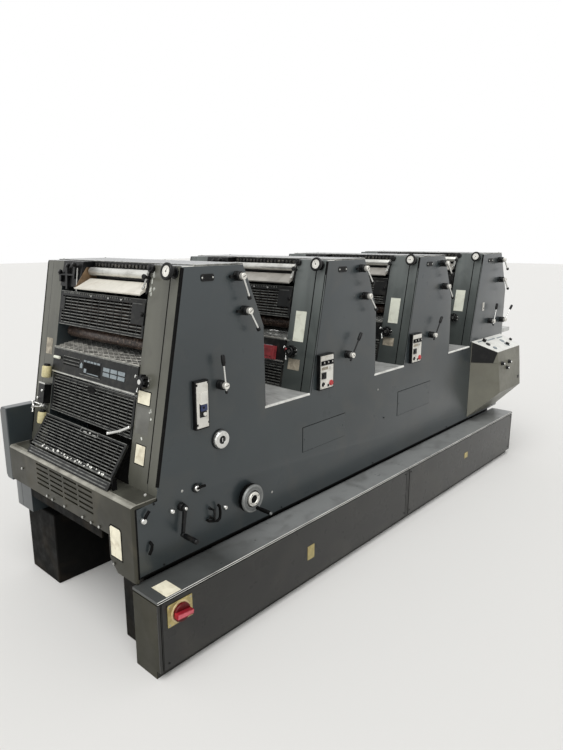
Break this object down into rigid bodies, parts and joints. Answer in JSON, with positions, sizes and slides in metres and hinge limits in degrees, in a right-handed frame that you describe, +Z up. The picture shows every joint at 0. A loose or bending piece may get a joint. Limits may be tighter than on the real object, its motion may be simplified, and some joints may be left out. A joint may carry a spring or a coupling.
{
  "type": "offset printing press",
  "caption": "Sheet-fed offset printing press with a row of sloping towers on a low housing, hinged guards, levers, step boxes and a control console.",
  "frame": {"origin": "on the floor, at the middle of the press's whole outline", "axes": "+X along the press from the inking end to the feed end, -Y towards the operator side, +Z up"},
  "size_m": [3.611, 1.276, 1.5401],
  "materials": {
    "grey_enamel": "dark grey enamel, semi-gloss, worn at its edges",
    "bed_paint": "dark machine paint, matt and oily",
    "worn_plate": "grey plate, worn bright at its edge",
    "guard_black": "black paint, satin",
    "duct_cream": "pale tray with ink stains",
    "ink_rubber": "ink roller covering",
    "roller_steel": "ground steel",
    "lever_steel": "chrome plate with black grips",
    "black_plastic": "black moulding",
    "console_top": "pale console plate",
    "switch_red": "red moulding"
  },
  "bodies": {
    "press": {"operator_lower_housing": "grey_enamel", "operator_tower_casings": "grey_enamel", "drive_lower_housing": "grey_enamel", "drive_tower_casings": "grey_enamel", "bed": "bed_paint", "base_sills": "bed_paint", "drive_gear_cover": "grey_enamel", "end_panel": "grey_enamel", "step_boxes": "grey_enamel", "well_floor_plates": "worn_plate", "tower_top_covers": "grey_enamel", "tower_rear_covers": "guard_black", "ink_trays": "duct_cream", "duct_brackets": "black_plastic", "ink_rollers": "ink_rubber", "printing_cylinders": "roller_steel", "display_beams": "guard_black", "fixed_plate_guards": "guard_black", "switch_panels": "black_plastic", "control_console": "console_top", "control_pod": "grey_enamel", "feed_table": "worn_plate", "lever_barrels": "black_plastic", "face_fittings": "lever_steel", "column_fittings": "black_plastic", "tower_dials": "black_plastic"},
    "ink_duct_roller_1": {"ink_duct_roller_1": "roller_steel"},
    "ink_duct_roller_2": {"ink_duct_roller_2": "roller_steel"},
    "ink_duct_roller_3": {"ink_duct_roller_3": "roller_steel"},
    "ink_duct_roller_4": {"ink_duct_roller_4": "roller_steel"},
    "upper_guard_1": {"upper_guard_1": "guard_black"},
    "upper_guard_2": {"upper_guard_2": "guard_black"},
    "upper_guard_3": {"upper_guard_3": "guard_black"},
    "upper_guard_4": {"upper_guard_4": "guard_black"},
    "plate_guard_1": {"plate_guard_1": "guard_black"},
    "low_guard": {"low_guard": "guard_black"},
    "impression_lever_1": {"impression_lever_1": "lever_steel"},
    "impression_lever_2": {"impression_lever_2": "lever_steel"},
    "impression_lever_3": {"impression_lever_3": "lever_steel"},
    "impression_lever_4": {"impression_lever_4": "lever_steel"},
    "upper_roller_lever_1": {"upper_roller_lever_1": "lever_steel"},
    "upper_roller_lever_2": {"upper_roller_lever_2": "lever_steel"},
    "upper_roller_lever_3": {"upper_roller_lever_3": "lever_steel"},
    "upper_roller_lever_4": {"upper_roller_lever_4": "lever_steel"},
    "lower_roller_lever_1": {"lower_roller_lever_1": "lever_steel"},
    "lower_roller_lever_2": {"lower_roller_lever_2": "lever_steel"},
    "lower_roller_lever_3": {"lower_roller_lever_3": "lever_steel"},
    "lower_roller_lever_4": {"lower_roller_lever_4": "lever_steel"},
    "feed_lever": {"feed_lever": "lever_steel"},
    "hand_crank": {"hand_crank": "black_plastic"},
    "handwheel": {"handwheel": "black_plastic"},
    "main_switch_knob": {"main_switch_knob": "switch_red"}
  },
  "joints": [
    {"name": "ink_duct_roller_1_pivot", "type": "hinge", "parent": "press", "child": "ink_duct_roller_1", "pos_m": [-1.4895, -0.002, 1.482], "axis": [0, 1, 0], "continuous": true},
    {"name": "ink_duct_roller_2_pivot", "type": "hinge", "parent": "press", "child": "ink_duct_roller_2", "pos_m": [-0.6145, -0.002, 1.482], "axis": [0, 1, 0], "continuous": true},
    {"name": "ink_duct_roller_3_pivot", "type": "hinge", "parent": "press", "child": "ink_duct_roller_3", "pos_m": [0.2605, -0.002, 1.482], "axis": [0, 1, 0], "continuous": true},
    {"name": "ink_duct_roller_4_pivot", "type": "hinge", "parent": "press", "child": "ink_duct_roller_4", "pos_m": [1.1355, -0.002, 1.482], "axis": [0, 1, 0], "continuous": true},
    {"name": "upper_guard_1_pivot", "type": "hinge", "parent": "press", "child": "upper_guard_1", "pos_m": [-1.54168, 0.075, 1.38301], "axis": [0, 1, 0], "range_deg": [0, 75]},
    {"name": "upper_guard_2_pivot", "type": "hinge", "parent": "press", "child": "upper_guard_2", "pos_m": [-0.66668, 0.075, 1.38301], "axis": [0, 1, 0], "range_deg": [0, 75]},
    {"name": "upper_guard_3_pivot", "type": "hinge", "parent": "press", "child": "upper_guard_3", "pos_m": [0.20832, 0.075, 1.38301], "axis": [0, 1, 0], "range_deg": [0, 75]},
    {"name": "upper_guard_4_pivot", "type": "hinge", "parent": "press", "child": "upper_guard_4", "pos_m": [1.08332, 0.075, 1.38301], "axis": [0, 1, 0], "range_deg": [0, 75]},
    {"name": "plate_guard_1_pivot", "type": "hinge", "parent": "press", "child": "plate_guard_1", "pos_m": [-1.61609, 0.075, 0.99901], "axis": [0, 1, 0], "range_deg": [0, 70]},
    {"name": "low_guard_pivot", "type": "hinge", "parent": "press", "child": "low_guard", "pos_m": [-1.7505, 0.075, 0.7], "axis": [0, 1, 0], "range_deg": [-100, 0]},
    {"name": "impression_lever_1_pivot", "type": "hinge", "parent": "press", "child": "impression_lever_1", "pos_m": [-1.3515, -0.4913, 1.046], "axis": [0, 1, 0], "range_deg": [-14, 46]},
    {"name": "impression_lever_2_pivot", "type": "hinge", "parent": "press", "child": "impression_lever_2", "pos_m": [-0.4765, -0.4913, 1.046], "axis": [0, 1, 0], "range_deg": [-54, 6]},
    {"name": "impression_lever_3_pivot", "type": "hinge", "parent": "press", "child": "impression_lever_3", "pos_m": [0.3985, -0.4913, 1.046], "axis": [0, 1, 0], "range_deg": [-54, 6]},
    {"name": "impression_lever_4_pivot", "type": "hinge", "parent": "press", "child": "impression_lever_4", "pos_m": [1.2735, -0.4913, 1.046], "axis": [0, 1, 0], "range_deg": [-36, 24]},
    {"name": "upper_roller_lever_1_pivot", "type": "hinge", "parent": "press", "child": "upper_roller_lever_1", "pos_m": [-1.2465, -0.4913, 1.478], "axis": [0, 1, 0], "range_deg": [-38, 17]},
    {"name": "upper_roller_lever_2_pivot", "type": "hinge", "parent": "press", "child": "upper_roller_lever_2", "pos_m": [-0.3715, -0.4913, 1.478], "axis": [0, 1, 0], "range_deg": [-22, 33]},
    {"name": "upper_roller_lever_3_pivot", "type": "hinge", "parent": "press", "child": "upper_roller_lever_3", "pos_m": [0.5035, -0.4913, 1.478], "axis": [0, 1, 0], "range_deg": [-16, 39]},
    {"name": "upper_roller_lever_4_pivot", "type": "hinge", "parent": "press", "child": "upper_roller_lever_4", "pos_m": [1.3785, -0.4913, 1.478], "axis": [0, 1, 0], "range_deg": [-14, 41]},
    {"name": "lower_roller_lever_1_pivot", "type": "hinge", "parent": "press", "child": "lower_roller_lever_1", "pos_m": [-1.2105, -0.4913, 1.336], "axis": [0, 1, 0], "range_deg": [-28, 27]},
    {"name": "lower_roller_lever_2_pivot", "type": "hinge", "parent": "press", "child": "lower_roller_lever_2", "pos_m": [-0.3355, -0.4913, 1.336], "axis": [0, 1, 0], "range_deg": [-20, 35]},
    {"name": "lower_roller_lever_3_pivot", "type": "hinge", "parent": "press", "child": "lower_roller_lever_3", "pos_m": [0.5395, -0.4913, 1.336], "axis": [0, 1, 0], "range_deg": [-21, 34]},
    {"name": "lower_roller_lever_4_pivot", "type": "hinge", "parent": "press", "child": "lower_roller_lever_4", "pos_m": [1.4145, -0.4913, 1.336], "axis": [0, 1, 0], "range_deg": [-16, 39]},
    {"name": "feed_lever_pivot", "type": "hinge", "parent": "press", "child": "feed_lever", "pos_m": [1.4785, -0.4913, 1.036], "axis": [0, 1, 0], "range_deg": [-58, 12]},
    {"name": "hand_crank_pivot", "type": "hinge", "parent": "press", "child": "hand_crank", "pos_m": [-1.5725, -0.479, 0.588], "axis": [0, 1, 0], "continuous": true},
    {"name": "handwheel_pivot", "type": "hinge", "parent": "press", "child": "handwheel", "pos_m": [-1.2065, -0.482, 0.508], "axis": [0, 1, 0], "continuous": true},
    {"name": "main_switch_knob_pivot", "type": "hinge", "parent": "press", "child": "main_switch_knob", "pos_m": [-1.7065, -0.611, 0.256], "axis": [0, 1, 0], "range_deg": [0, 90]}
  ]
}
